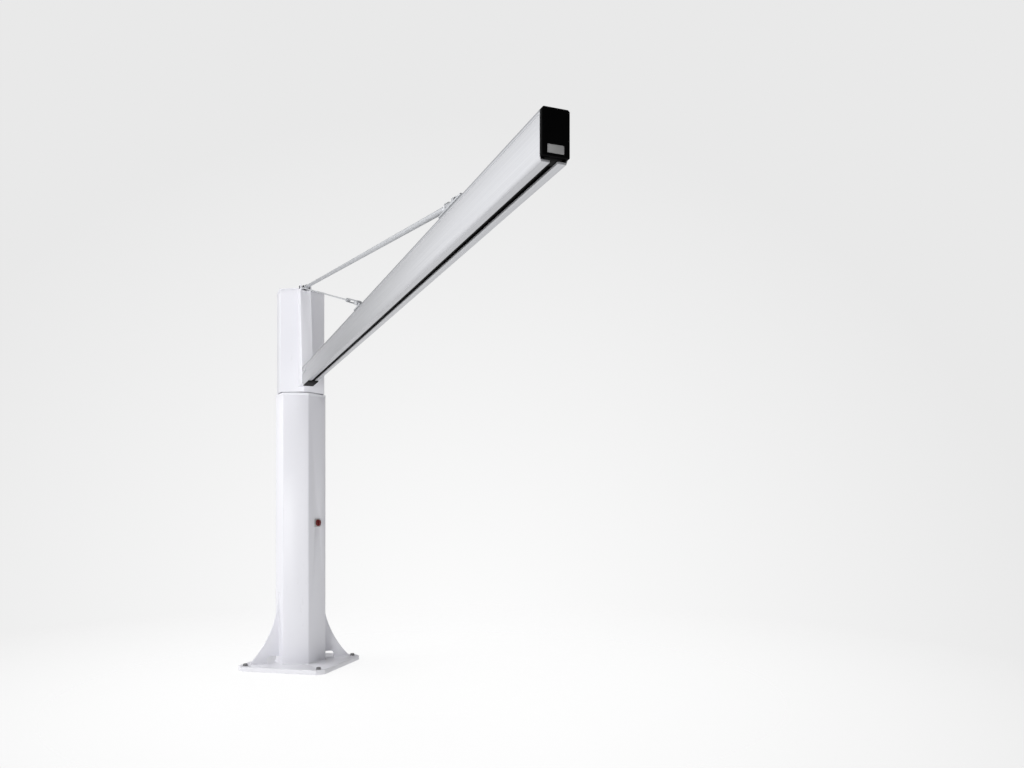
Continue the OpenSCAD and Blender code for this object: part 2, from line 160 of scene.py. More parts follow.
paintLook = {
    "tone": (0.79, 0.79, 0.84),
    "lighter": (0.83, 0.83, 0.87),
    "dust": (0.55, 0.53, 0.50),
    "dustHeight": 0.12,
    "dustMost": 0.16,
    "dustGrain": 14,
    "scuff": (0.66, 0.66, 0.69),
    "scuffGrain": 26,
    "scuffSpan": (0.66, 0.78),
    "scuffMost": 0.35,
    "patches": 2.2,
    "glossGrain": 9,
    "peelGrain": (420, 1300),
    "peel": 0.00004,
    "roughLow": 0.34,
    "roughHigh": 0.46,
}


def paintFinish(name, look):
    finish, tree, shader = newFinish(name)
    shader.inputs["Specular IOR Level"].default_value = 0.45
    shader.inputs["Coat Weight"].default_value = 0.12
    shader.inputs["Coat Roughness"].default_value = 0.25
    tone = blendOf(tree, grain(tree, look["patches"], detail=4), look["tone"], look["lighter"])
    marks = ranged(tree, grain(tree, look["scuffGrain"], stretch=(1, 1, 0.35), detail=6),
                   *look["scuffSpan"], 0.0, look["scuffMost"])
    tone = blendOf(tree, marks, tone, look["scuff"])
    low = ranged(tree, along(tree, "Z", 0.0, look["dustHeight"]), 0.0, 1.0, look["dustMost"], 0.0)
    tone = blendOf(tree, times(tree, low, grain(tree, look["dustGrain"], detail=5)), tone, look["dust"])
    tree.links.new(tone, shader.inputs["Base Color"])
    roughen(tree, shader, grain(tree, look["glossGrain"], detail=4), look["roughLow"], look["roughHigh"])
    coarse, fine = look["peelGrain"]
    relief(tree, shader, [(grain(tree, coarse, detail=2), look["peel"]),
                          (grain(tree, fine, detail=1), look["peel"] / 4)])
    return finish


alloyLook = {
    "tone": (0.46, 0.465, 0.485),
    "lighter": (0.52, 0.525, 0.545),
    # painted shade: the inside of the rail's channel is near black
    "inside": (0.012, 0.012, 0.012),
    # painted shade: a darker band along the upper sides and chamfers of the rail
    "topEdgeShade": (0.27, 0.275, 0.29),
    "topBand": (0.1475, 0.1550),
    "chamfer": 0.0062,
    "chamferBlur": 0.0006,
    "wall": 0.0042,
    "wallBlur": 0.0003,
    "channel": (0.0078, 0.0585),
    "channelBlur": 0.0004,
    "streaks": 60,
    "glossGrain": 40,
    "lineGrain": (900, 2400),
    "lines": 0.000012,
    "metal": 0.60,
    "roughLow": 0.32,
    "roughHigh": 0.40,
}


def alloyFinish(name, look):  # extrusion lines run along the rail; its channel is painted near black as shade
    finish, tree, shader = newFinish(name)
    shader.inputs["Metallic"].default_value = look["metal"]
    lines = grain(tree, look["streaks"], stretch=(0.02, 6, 6), detail=5)
    tone = blendOf(tree, ranged(tree, lines, 0.35, 0.65, 0.0, 1.0), look["tone"], look["lighter"])
    half = railHigh.y - look["wall"]
    # painted shade: mask of the channel's inside, between the walls and below its roof
    inside = times(tree, along(tree, "Y", -half - look["wallBlur"], -half),
                   along(tree, "Y", half + look["wallBlur"], half))
    for edge, way in zip(look["channel"], (-look["channelBlur"], look["channelBlur"])):
        inside = times(tree, inside, along(tree, "Z", railLow.z + edge + way, railLow.z + edge))
    # painted shade: mask of the top few millimetres of the sides and the chamfers
    topEdgeShade = along(tree, "Z", railLow.z + look["topBand"][0], railLow.z + look["topBand"][1])
    middle = railHigh.y - look["chamfer"]
    flank = times(tree, along(tree, "Y", -middle - look["chamferBlur"], -middle),
                  along(tree, "Y", middle + look["chamferBlur"], middle))
    topEdgeShade = times(tree, topEdgeShade, ranged(tree, flank, 0.0, 1.0, 1.0, 0.0))
    tone = blendOf(tree, topEdgeShade, tone, look["topEdgeShade"])
    tone = blendOf(tree, inside, tone, look["inside"])
    tree.links.new(tone, shader.inputs["Base Color"])
    roughen(tree, shader, grain(tree, look["glossGrain"], stretch=(0.05, 3, 3)),
            look["roughLow"], look["roughHigh"])
    coarse, fine = look["lineGrain"]
    relief(tree, shader, [(grain(tree, coarse, stretch=(0.01, 1, 1), detail=2), look["lines"]),
                          (grain(tree, fine, detail=1), look["lines"] / 2)])
    return finish


steelGrain = {"patches": 55, "gloss": 120, "pits": 700, "spangleSpan": (0.92, 1.08)}


def steelFinish(name, tone, lighter, roughLow, roughHigh, spangle=0.0, depth=0.00003, metal=1.0):
    finish, tree, shader = newFinish(name)
    shader.inputs["Metallic"].default_value = metal
    patches = grain(tree, steelGrain["patches"], detail=5)
    if spangle:
        place = tree.nodes.new("ShaderNodeTexCoord")
        cells = tree.nodes.new("ShaderNodeTexVoronoi")
        cells.inputs["Scale"].default_value = spangle
        tree.links.new(place.outputs["Object"], cells.inputs["Vector"])
        uneven = ranged(tree, cells.outputs["Color"], 0, 1, *steelGrain["spangleSpan"])
        patches = times(tree, patches, uneven)
    colour = blendOf(tree, ranged(tree, patches, *noiseSpan, 0.0, 1.0), tone, lighter)
    tree.links.new(colour, shader.inputs["Base Color"])
    roughen(tree, shader, grain(tree, steelGrain["gloss"], detail=4), roughLow, roughHigh)
    relief(tree, shader, [(grain(tree, steelGrain["pits"], detail=3), depth)])
    return finish


mouldedGrain = {"patches": 30, "gloss": 200}


def mouldedFinish(name, tone, lighter, roughLow, roughHigh, pebble, depth, specular=0.5):
    finish, tree, shader = newFinish(name)
    shader.inputs["Specular IOR Level"].default_value = specular
    colour = blendOf(tree, grain(tree, mouldedGrain["patches"], detail=4), tone, lighter)
    tree.links.new(colour, shader.inputs["Base Color"])
    roughen(tree, shader, grain(tree, mouldedGrain["gloss"], detail=3), roughLow, roughHigh)
    relief(tree, shader, [(grain(tree, pebble, detail=2), depth)])
    return finish


paint = paintFinish("white_powder_coat", paintLook)
alloy = alloyFinish("anodised_rail", alloyLook)
zinc = steelFinish("zinc_plated_steel", (0.56, 0.57, 0.59), (0.66, 0.67, 0.69), 0.44, 0.56, spangle=90,
                   depth=0.00001, metal=0.45)
drawn = steelFinish("drawn_steel_bar", (0.42, 0.43, 0.45), (0.49, 0.50, 0.52), 0.46, 0.56, depth=0.00001,
                    metal=0.4)
dull = steelFinish("galvanised_steel", (0.19, 0.19, 0.195), (0.28, 0.28, 0.285), 0.48, 0.60, metal=0.5)
# partly real phosphated finish, partly painted shade: the tie eye, its pins and sleeves are near black to stand
# for the shade between the bracket cheeks
dark = steelFinish("phosphated_steel_and_shade", (0.022, 0.022, 0.024), (0.045, 0.045, 0.048), 0.50, 0.62, metal=0.2)
machined = steelFinish("machined_steel", (0.36, 0.37, 0.39), (0.46, 0.47, 0.49), 0.26, 0.40)
bronze = steelFinish("turned_bronze", (0.55, 0.38, 0.16), (0.66, 0.48, 0.22), 0.28, 0.42)
blackMoulding = mouldedFinish("black_moulding", (0.0007, 0.0007, 0.0007), (0.0015, 0.0015, 0.0016),
                              0.52, 0.66, 1100, 0.00004, specular=0.03)
rubber = mouldedFinish("buffer_rubber", (0.004, 0.004, 0.004), (0.008, 0.008, 0.008),
                       0.66, 0.82, 500, 0.0001, specular=0.1)
redMoulding = mouldedFinish("red_moulding", (0.11, 0.011, 0.011), (0.14, 0.015, 0.014),
                            0.30, 0.40, 900, 0.00002, specular=0.3)
paleMoulding = mouldedFinish("pale_moulding", (0.42, 0.42, 0.42), (0.48, 0.48, 0.48),
                             0.38, 0.50, 900, 0.00003)
greyMoulding = mouldedFinish("grey_moulding", (0.27, 0.27, 0.27), (0.33, 0.33, 0.33),
                             0.42, 0.54, 900, 0.00003)
print("materials made")


# mesh tools

def asObject(name, bm, finish):
    mesh = bpy.data.meshes.new(name)
    bm.to_mesh(mesh)
    bm.free()
    mesh.materials.append(finish)
    thing = bpy.data.objects.new(name, mesh)
    bpy.context.scene.collection.objects.link(thing)
    return thing


def asPiece(name, bm, finish, body, angle=32):
    bmesh.ops.recalc_face_normals(bm, faces=bm.faces)
    piece = asObject(name, bm, finish)
    piece.data.shade_smooth()
    piece.data.set_sharp_from_angle(angle=math.radians(angle))
    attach(piece, body)
    return piece


def bent(edge):  # how sharply the two faces of an edge meet, in degrees
    return math.degrees(edge.calc_face_angle(0.0)) if edge.is_manifold else 0.0


sharpFrom = 25  # degrees; only edges that bend more are rounded


def softened(node, name, radius, finish, body, fold=0.0, foldTest=None):
    # takes the place of a CAD node, with its edges rounded
    bm = bmesh.new()
    bm.from_mesh(frame["nodes"][node].data)
    bmesh.ops.remove_doubles(bm, verts=bm.verts, dist=1e-6)
    bmesh.ops.dissolve_limit(bm, angle_limit=math.radians(1), verts=bm.verts, edges=bm.edges)
    if fold:
        folds = [e for e in bm.edges if bent(e) > sharpFrom and foldTest(e)]
        bmesh.ops.bevel(bm, geom=folds, offset=fold, segments=4, profile=0.5,
                        affect="EDGES", clamp_overlap=True)
    edges = [e for e in bm.edges if bent(e) > sharpFrom]
    bmesh.ops.bevel(bm, geom=edges, offset=radius, segments=2, profile=0.5,
                    affect="EDGES", clamp_overlap=True)
    piece = asPiece(name, bm, finish, body)
    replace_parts(piece, node)
    return piece


def skin(bm, loops, closed=False):  # faces between neighbouring loops; without closed, the ends are capped
    pairs = list(zip(loops, loops[1:]))
    if closed:
        pairs.append((loops[-1], loops[0]))
    else:
        bm.faces.new(list(reversed(loops[0])))
        bm.faces.new(loops[-1])
    for lower, upper in pairs:
        for i in range(len(lower)):
            j = (i + 1) % len(lower)
            bm.faces.new((lower[i], lower[j], upper[j], upper[i]))


def ringSolid(bm, rings, place, sides=36, joined=False):
    # a solid from stacked rings, each giving (reach, height) for a direction
    # joined ties the last ring to the first, for a piece with a hole through it
    loops = []
    for ring in rings:
        loop = []
        for i in range(sides):
            turn = 2 * math.pi * i / sides
            reach, height = ring(turn)
            spot = Vector((reach * math.cos(turn), reach * math.sin(turn), height))
            loop.append(bm.verts.new(place @ spot))
        loops.append(loop)
    skin(bm, loops, joined)


def circle(reach, height):
    return lambda turn: (reach, height)


def hexReach(across, turn):  # from the middle to a hexagon's outline
    sixth = math.pi / 3
    return across / 2 / math.cos((turn + sixth / 2) % sixth - sixth / 2)


def hexRing(across, height):
    return lambda turn: (hexReach(across, turn), height)


hexLook = {"chamferReach": 0.475, "chamferSlope": 0.577, "middle": 0.2}  # reaches over width across flats


def hexCone(across, reach, height, way):  # chamfered face of a nut or head; way is 1 for an upper face
    def ring(turn):
        out = hexReach(across, turn)
        return out, height - way * max(0.0, out - reach) * hexLook["chamferSlope"]
    return ring


def hexClipped(across, reach, height):
    return lambda turn: (min(hexReach(across, turn), reach), height)


def standing(spot, axis=up, turn=0.0):  # place with its own Z along axis
    rotation = Vector(axis).to_track_quat("Z", "Y").to_matrix().to_4x4()
    return Matrix.Translation(spot) @ rotation @ Matrix.Rotation(turn, 4, "Z")


def hexNut(bm, place, across, height, bore):
    reach = across * hexLook["chamferReach"]
    ringSolid(bm, [
        circle(bore, 0), hexClipped(across, reach, 0), hexCone(across, reach, 0, -1),
        hexCone(across, reach, height, 1), hexClipped(across, reach, height),
        circle(bore * 1.12, height), circle(bore, height - bore * 0.12)], place, 48, joined=True)


def hexHead(bm, place, across, height):
    reach = across * hexLook["chamferReach"]
    middle = across * hexLook["middle"]
    ringSolid(bm, [
        circle(middle, 0), hexRing(across, 0), hexCone(across, reach, height, 1),
        hexClipped(across, reach, height), circle(middle, height)], place, 48)


def washer(bm, place, outer, bore, thick):
    soft = thick * 0.18
    ringSolid(bm, [
        circle(bore, soft), circle(bore + soft, 0), circle(outer - soft, 0), circle(outer, soft),
        circle(outer, thick - soft), circle(outer - soft, thick), circle(bore + soft, thick),
        circle(bore, thick - soft)], place, 40, joined=True)


def socketScrew(bm, place, head, height, key):  # low round head with a six-sided socket
    ringSolid(bm, [
        circle(head * 0.5, 0), circle(head, 0), circle(head, height * 0.45),
        circle(head * 0.9, height * 0.85), circle(head * 0.72, height), circle(head * 0.62, height),
        hexRing(key, height), hexRing(key, height * 0.35), circle(0.0004, height * 0.3)], place, 36)


def threaded(bm, place, start, length, reach, pitch, sides=28):  # full-length screw thread
    steps = max(8, int(length / pitch * 6))
    depth = pitch * 0.5

    def ringAt(k):
        height = start + length * k / steps
        tip = min(1.0, (length - length * k / steps) / pitch)

        def ring(turn):
            phase = (height / pitch - turn / (2 * math.pi)) % 1.0
            return reach - depth * (1 - tip) - depth * (0.5 + 0.5 * math.cos(2 * math.pi * phase)), height
        return ring
    ringSolid(bm, [ringAt(k) for k in range(steps + 1)], place, sides)


def tube(bm, points, reach, sides=10):  # round wire along a line of points
    loops = []
    side = None
    for i, point in enumerate(points):
        ahead = points[min(i + 1, len(points) - 1)] - points[max(i - 1, 0)]
        ahead.normalize()
        if side is None:
            side = ahead.orthogonal().normalized()
        side = (side - ahead * side.dot(ahead)).normalized()
        other = ahead.cross(side)
        loops.append([bm.verts.new(point + reach * (math.cos(a) * side + math.sin(a) * other))
                      for a in (2 * math.pi * k / sides for k in range(sides))])
    skin(bm, loops)


beadLook = {"ripple": 0.005, "step": 0.0016, "least": 0.93, "wave": 0.14, "uneven": 0.04,
            "sunk": 0.15, "hollow": 0.18}


def bead(bm, run, size):
    # a fillet weld in a corner. run is a list of (point, way along one face, way along the other)
    samples = []
    travelled = 0.0
    for (p, a, b), (q, c, d) in zip(run, run[1:]):
        length = (q - p).length
        count = max(1, int(length / beadLook["step"]))
        for i in range(count):
            t = i / count
            samples.append((p.lerp(q, t), a.lerp(c, t), b.lerp(d, t), travelled + t * length))
        travelled += length
    samples.append((*run[-1], travelled))
    closed = (run[0][0] - run[-1][0]).length < 1e-6
    if closed:
        samples.pop()
    loops = []
    for point, a, b, distance in samples:
        wave = 0.5 - abs(distance / beadLook["ripple"] % 1.0 - 0.5)
        uneven = beadLook["uneven"] * (chance.random() - 0.5)
        scale = size * (beadLook["least"] + beadLook["wave"] * wave + uneven)
        section = [point - beadLook["sunk"] * size * (a + b), point + scale * a]
        for t in (0.25, 0.5, 0.75):
            bulge = 1.0 - beadLook["hollow"] * math.sin(math.pi * t)
            section.append(point + scale * bulge * (math.cos(t * math.pi / 2) * a
                                                    + math.sin(t * math.pi / 2) * b))
        section.append(point + scale * b)
        loops.append([bm.verts.new(v) for v in section])
    skin(bm, loops, closed)


# foot

foot = {"plateEdge": 0.003, "gussetEdge": 0.002, "columnBead": 0.009, "gussetBead": 0.007,
        "reliefHeight": 0.066, "reliefWidth": 0.120, "beadGap": 0.004, "beadEnd": 0.003}
softened("base_plate", "foot_plate", foot["plateEdge"], paint, "column")
for node in ("gusset_left", "gusset_right"):
    softened(node, node + "_plate", foot["gussetEdge"], paint, "column")


def heading(turn):
    return Vector((math.cos(turn), math.sin(turn), 0))


bm = bmesh.new()
run = []
for i in range(7):  # round the column's foot
    corner = heading(columnTurn + math.radians(60 * i))
    run.append((corner * cornerReach + up * plateTop, corner / flatShare, up))
bead(bm, run, foot["columnBead"])
asPiece("column_foot_weld", bm, paint, "column", angle=60)

bm = bmesh.new()
for node, quarter in (("gusset_left", 90), ("gusset_right", -90)):
    out = heading(columnTurn + math.radians(quarter))
    across = out.cross(up)
    points = [v.co for v in frame["nodes"][node].data.vertices]
    reach = max(p.dot(out) for p in points)
    top = max(p.z for p in points)
    half = max(p.dot(across) for p in points)
    for side in (1, -1):
        base = out * faceReach + across * side * half
        low = plateTop + foot["reliefHeight"] + foot["beadGap"]
        high = top - foot["beadGap"]
        bead(bm, [(base + up * low, across * side, out), (base + up * high, across * side, out)],
             foot["gussetBead"])
        near = base + out * (foot["reliefWidth"] + foot["beadGap"]) + up * plateTop
        far = out * (reach - foot["beadEnd"]) + across * side * half + up * plateTop
        bead(bm, [(near, across * side, up), (far, across * side, up)], foot["gussetBead"])
asPiece("gusset_welds", bm, paint, "column", angle=60)

anchor = {"across": 0.036, "head": 0.015, "washer": 0.024, "bore": 0.0128, "washerThick": 0.004,
          "shank": 0.012, "shankEnd": 0.004, "shankFull": 0.008, "turns": (8, 21, 37, 52)}
heads, washers = bmesh.new(), bmesh.new()
for i in range(4):
    spot = heading(columnTurn + math.radians(90 * i)) * anchors["pcd_mm"] / 2000
    place = standing(spot + up * plateTop, up, math.radians(anchor["turns"][i]))
    washer(washers, place, anchor["washer"], anchor["bore"], anchor["washerThick"])
    hexHead(heads, place @ Matrix.Translation((0, 0, anchor["washerThick"])), anchor["across"],
            anchor["head"])
    shank = anchor["shank"]
    ringSolid(heads, [circle(shank * 0.85, anchor["shankEnd"] - plateTop),
                      circle(shank, anchor["shankFull"] - plateTop),
                      circle(shank, anchor["washerThick"])], place, 28)
asPiece("anchor_heads", heads, dull, "column")
asPiece("anchor_washers", washers, dull, "column")
print("foot made")


# column and head

shell = {"edge": 0.0009, "fold": 0.010, "foldLeast": 0.3, "foldNear": 0.004, "plateEdge": 0.0015,
         "ringEdge": 0.001, "lidEdge": 0.0015}


def outerFold(edge):
    a, b = (v.co for v in edge.verts)
    reach = min(math.hypot(a.x, a.y), math.hypot(b.x, b.y))
    return abs(a.z - b.z) > shell["foldLeast"] and reach > cornerReach - shell["foldNear"]


softened("column_shell", "column_folded_sheet", shell["edge"], paint, "column",
         shell["fold"], outerFold)
softened("column_top_plate", "column_closing_plate", shell["plateEdge"], paint, "column")
softened("thrust_ring", "thrust_washer", shell["ringEdge"], zinc, "column")
softened("head_shell", "head_folded_sheet", shell["edge"], paint, "jib",
         shell["fold"], outerFold)
softened("head_lid", "head_cover", shell["lidEdge"], paint, "jib")

lidScrews = {"reach": 0.019, "head": 0.0075, "height": 0.0048, "key": 0.005}
bm = bmesh.new()
for i in range(6):
    turn = math.radians(60 * i + 30)
    spot = heading(turn) * (faceReach - lidScrews["reach"]) + up * lidHigh.z
    socketScrew(bm, standing(spot, up, turn), lidScrews["head"], lidScrews["height"], lidScrews["key"])
asPiece("head_cover_screws", bm, zinc, "jib")
for node in ("pivot_post", "pivot_nut"):
    frame["nodes"][node].data.materials[0] = machined
frame["nodes"]["lower_bearing_plate"].data.materials[0] = zinc
frame["nodes"]["upper_bearing_plate"].data.materials[0] = machined
for node in ("lower_bush", "upper_bush"):
    frame["nodes"][node].data.materials[0] = bronze
print("column and head made")


# front bracket

bracket = {"edge": 0.0014, "bead": 0.006, "beadEnd": 0.002, "sheet": 0.008}
softened("front_bracket", "rail_bracket", bracket["edge"], paint, "jib")
bm = bmesh.new()
for side in (1, -1):
    y = side * bracketHigh.y
    x = cornerReach - abs(y) * math.tan(math.radians(30))
    ahead = Vector((1, 0, 0))
    away = Vector((-0.5, side * flatShare, 0))
    bead(bm, [(Vector((x, y, bracketLow.z)), ahead, away),
              (Vector((x, y, headHigh.z - bracket["beadEnd"])), ahead, away)], bracket["bead"])
asPiece("bracket_welds", bm, paint, "jib", angle=60)
print("bracket made")


# rail

rail = {"edge": 0.0009, "capEdge": 0.0022, "tubeEdge": 0.0015, "shoeEdge": 0.0015, "blockEdge": 0.004,
        "clampX": (0.045, 0.110, 0.175), "clampZ": 0.102,
        "clampAcross": 0.019, "clampHead": 0.0075, "clampWasher": 0.012, "clampBore": 0.0064,
        "washerThick": 0.0025}
softened("jib_rail", "rail_profile", rail["edge"], alloy, "jib")
softened("inner_end_cap", "rail_inner_cap", rail["capEdge"], blackMoulding, "jib")
softened("outer_end_cap", "rail_outer_cap", rail["capEdge"], blackMoulding, "jib")
softened("rail_tongue", "rail_root_tube", rail["tubeEdge"], zinc, "jib")
softened("inner_buffer", "inner_stop_shoe", rail["shoeEdge"], rubber, "jib")
softened("outer_buffer", "outer_stop_block", rail["blockEdge"], rubber, "jib")

bolts, washers = bmesh.new(), bmesh.new()
for side in (1, -1):
    for x in rail["clampX"]:
        spot = Vector((railLow.x + x, side * railHigh.y, railLow.z + rail["clampZ"]))
        place = standing(spot, (0, side, 0), chance.random())
        washer(washers, place, rail["clampWasher"], rail["clampBore"], rail["washerThick"])
        hexHead(bolts, place @ Matrix.Translation((0, 0, rail["washerThick"])), rail["clampAcross"],
                rail["clampHead"])
asPiece("rail_clamp_bolts", bolts, zinc, "jib")
asPiece("rail_clamp_washers", washers, zinc, "jib")

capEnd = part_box("outer_end_cap")[1].x
capScrews = {"across": (-0.036, 0.036), "heights": (0.068, 0.152), "sunk": 0.0018,
             "head": 0.0045, "height": 0.0017, "key": 0.003}
bm = bmesh.new()
for y in capScrews["across"]:
    for z in capScrews["heights"]:
        place = standing(Vector((capEnd, y, railLow.z + z)), (1, 0, 0), chance.random())
        place = place @ Matrix.Translation((0, 0, -capScrews["sunk"]))
        socketScrew(bm, place, capScrews["head"], capScrews["height"], capScrews["key"])
asPiece("outer_cap_screws", bm, machined, "jib")

window = {"half": 0.0284, "low": 0.0246, "high": 0.0514, "round": 0.003, "edge": 0.0005,
          "thick": 0.0035, "sunk": 0.005}
bm = bmesh.new()
bmesh.ops.create_cube(bm, size=1)
size = (window["thick"], 2 * window["half"], window["high"] - window["low"])
centre = (capEnd - window["sunk"] + window["thick"] / 2, 0,
          railLow.z + (window["low"] + window["high"]) / 2)
bmesh.ops.scale(bm, vec=size, verts=bm.verts)
bmesh.ops.translate(bm, vec=centre, verts=bm.verts)
corners = [e for e in bm.edges if abs(e.verts[0].co.x - e.verts[1].co.x) > 0.001]
bmesh.ops.bevel(bm, geom=corners, offset=window["round"], segments=5, profile=0.5, affect="EDGES")
bmesh.ops.bevel(bm, geom=[e for e in bm.edges if bent(e) > 60], offset=window["edge"], segments=2,
                profile=0.5, affect="EDGES")
asPiece("outer_cap_insert", bm, greyMoulding, "jib")
print("rail made")


# ties

pinsLow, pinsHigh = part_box("tie_pins")
stayLow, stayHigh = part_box("stay_pins")
tie = {"pin": 0.018, "rod": 0.027, "pitch": 0.0035, "thread": 0.055, "nut": 0.041, "nutHeight": 0.014,
       "pinHead": 0.006, "pinTail": 0.007, "sleeve": 0.0145, "sleeveGap": 0.0002, "sleevePlay": 0.0001}
stay = {"pin": 0.012, "rod": 0.010, "pitch": 0.0015, "thread": 0.060, "nut": 0.017, "nutHeight": 0.006,
        "pinHead": 0.005, "pinHeadFull": 0.0035, "pinTail": 0.006, "pinCone": 0.001}
barLook = {"nutGap": 0.0005, "nutBore": 0.97, "cone": 0.004, "coneReach": 0.8}
fittingEdge = 0.001
pinLook = {"headReach": 1.5, "headEdge": 1.25, "washerReach": 1.7, "washerShare": 0.28, "wire": 0.14}


def pinSpots(low, high, dia, y=0.0):  # upper and lower pin of a tie, from the box of both
    return (Vector((low.x + dia / 2, y, high.z - dia / 2)), Vector((high.x - dia / 2, y, low.z + dia / 2)))


def turnedPin(bm, spot, dia, half, head, tail):  # headed towards -Y, with a split pin in its tail
    r = dia / 2
    place = standing(spot - Vector((0, half + head, 0)), (0, 1, 0))
    end = 2 * half + head + tail
    ringSolid(bm, [
        circle(r * pinLook["headEdge"], 0), circle(r * pinLook["headReach"], head * 0.3),
        circle(r * pinLook["headReach"], head), circle(r, head),
        circle(r, end - r * 0.3), circle(r * 0.75, end)], place, 40)
    washer(bm, standing(spot + Vector((0, half, 0)), (0, 1, 0)), r * pinLook["washerReach"], r * 1.02,
           tail * pinLook["washerShare"])
    wire = r * pinLook["wire"]
    y = half + tail * pinLook["washerShare"] + wire * 1.2
    eye = [Vector((0, y, r + wire * (2.4 + 2.2 * math.sin(a)))) + Vector((wire * 2.2 * math.cos(a), 0, 0))
           for a in (math.radians(t) for t in range(-60, 241, 20))]
    legs = [Vector((0, y, 0.9 * r)), Vector((0, y, -r)), Vector((wire * 2, y, -r * 1.25)),
            Vector((r * 0.7, y, -r * 1.45))]
    tube(bm, [spot + p for p in eye], wire)
    tube(bm, [spot + p for p in legs], wire)
    tube(bm, [spot + Vector((-p.x, p.y, p.z)) for p in legs], wire)


tieTop, tieFoot = pinSpots(pinsLow, pinsHigh, tie["pin"])
buckleLow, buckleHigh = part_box("stay_turnbuckle")
stayTop, stayFoot = pinSpots(stayLow, stayHigh, stay["pin"], (buckleLow.y + buckleHigh.y) / 2)
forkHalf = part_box("tie_lower_fork")[1].y
stayForkHalf = (buckleHigh.y - buckleLow.y) / 2
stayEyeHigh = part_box("stay_upper_eye")[1].y

bm = bmesh.new()
turnedPin(bm, tieTop, tie["pin"], bracketHigh.y, tie["pinHead"], tie["pinTail"])
turnedPin(bm, tieFoot, tie["pin"], forkHalf, tie["pinHead"], tie["pinTail"])
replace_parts(asPiece("tie_headed_pins", bm, dark, "jib"), "tie_pins")
bm = bmesh.new()
r = stay["pin"] / 2
place = standing(Vector((stayTop.x, bracketLow.y, stayTop.z)), (0, 1, 0))
pinLength = stayEyeHigh - bracketLow.y
ringSolid(bm, [circle(r * pinLook["headEdge"], -stay["pinHead"]),
               circle(r * pinLook["headReach"], -stay["pinHeadFull"]),
               circle(r * pinLook["headReach"], 0), circle(r, 0), circle(r, pinLength - stay["pinCone"]),
               circle(r * 0.8, pinLength)], place, 40)
turnedPin(bm, stayFoot, stay["pin"], stayForkHalf, stay["pinHead"], stay["pinTail"])
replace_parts(asPiece("stay_headed_pins", bm, zinc, "jib"), "stay_pins")

softened("tie_upper_eye", "tie_eye_socket", fittingEdge, dark, "jib")
for node, name in (("tie_lower_fork", "tie_fork"), ("tie_saddle", "tie_rail_saddle"),
                   ("stay_upper_eye", "stay_eye_socket"), ("stay_turnbuckle", "stay_open_turnbuckle"),
                   ("stay_saddle", "stay_rail_saddle")):
    softened(node, name, fittingEdge, drawn, "jib")

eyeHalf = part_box("tie_upper_eye")[1].y
bracketInner = bracketHigh.y - bracket["sheet"]
bm = bmesh.new()
for side in (1, -1):  # sleeves keep the tie's eye in the middle of the bracket
    place = standing(tieTop + Vector((0, side * (eyeHalf + tie["sleeveGap"]), 0)), (0, side, 0))
    washer(bm, place, tie["sleeve"], tie["pin"] / 2 + tie["sleevePlay"],
           bracketInner - eyeHalf - 2 * tie["sleeveGap"])
asPiece("tie_pin_sleeves", bm, dark, "jib")


def endsOf(node, start, way):  # where a CAD bar starts and ends along a tie
    marks = [(v.co - start).dot(way) for v in frame["nodes"][node].data.vertices]
    return min(marks), max(marks)


def tieBar(name, node, start, end, look):
    # a round bar with a screw thread and a lock nut at each end
    way = (end - start).normalized()
    low, high = endsOf(node, start, way)
    r = look["rod"] / 2
    thread = look["thread"]
    place = standing(start, way)
    bm = bmesh.new()
    threaded(bm, place, low, thread, r, look["pitch"])
    cone = r * barLook["coneReach"]
    ringSolid(bm, [circle(cone, low + thread - barLook["cone"]), circle(r, low + thread),
                   circle(r, high - thread), circle(cone, high - thread + barLook["cone"])], place, 36)
    threaded(bm, place, high - thread, thread, r, look["pitch"])
    piece = asPiece(name, bm, drawn, "jib", angle=50)
    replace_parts(piece, node)
    nuts = bmesh.new()
    for spot in (low + barLook["nutGap"], high - look["nutHeight"] - barLook["nutGap"]):
        hexNut(nuts, place @ Matrix.Translation((0, 0, spot)), look["nut"], look["nutHeight"],
               r * barLook["nutBore"])
    asPiece(name + "_lock_nuts", nuts, zinc, "jib")


tieBar("tie_threaded_rod", "tie_rod", tieTop, tieFoot, tie)
tieBar("stay_threaded_rod", "stay_rod", stayTop, stayFoot, stay)

saddle = {"base": 0.008, "aside": 0.031, "tieAlong": 0.118, "stayAlong": 0.062, "washer": 0.0105,
          "bore": 0.0053, "washerThick": 0.002, "across": 0.017, "head": 0.0064}
saddleBolts, saddleWashers = bmesh.new(), bmesh.new()
aside, beside = saddle["aside"], saddle["stayAlong"]
saddleSpots = [(tieFoot.x + x, y) for x in (-saddle["tieAlong"], saddle["tieAlong"]) for y in (-aside, aside)]
saddleSpots += [(stayFoot.x - beside, -aside), (stayFoot.x - beside, aside), (stayFoot.x + beside, aside)]
for x, y in saddleSpots:
    place = standing(Vector((x, y, railHigh.z + saddle["base"])), up, chance.random())
    washer(saddleWashers, place, saddle["washer"], saddle["bore"], saddle["washerThick"])
    hexHead(saddleBolts, place @ Matrix.Translation((0, 0, saddle["washerThick"])), saddle["across"],
            saddle["head"])
asPiece("saddle_bolts", saddleBolts, zinc, "jib")
asPiece("saddle_washers", saddleWashers, zinc, "jib")
print("ties made")


# main switch

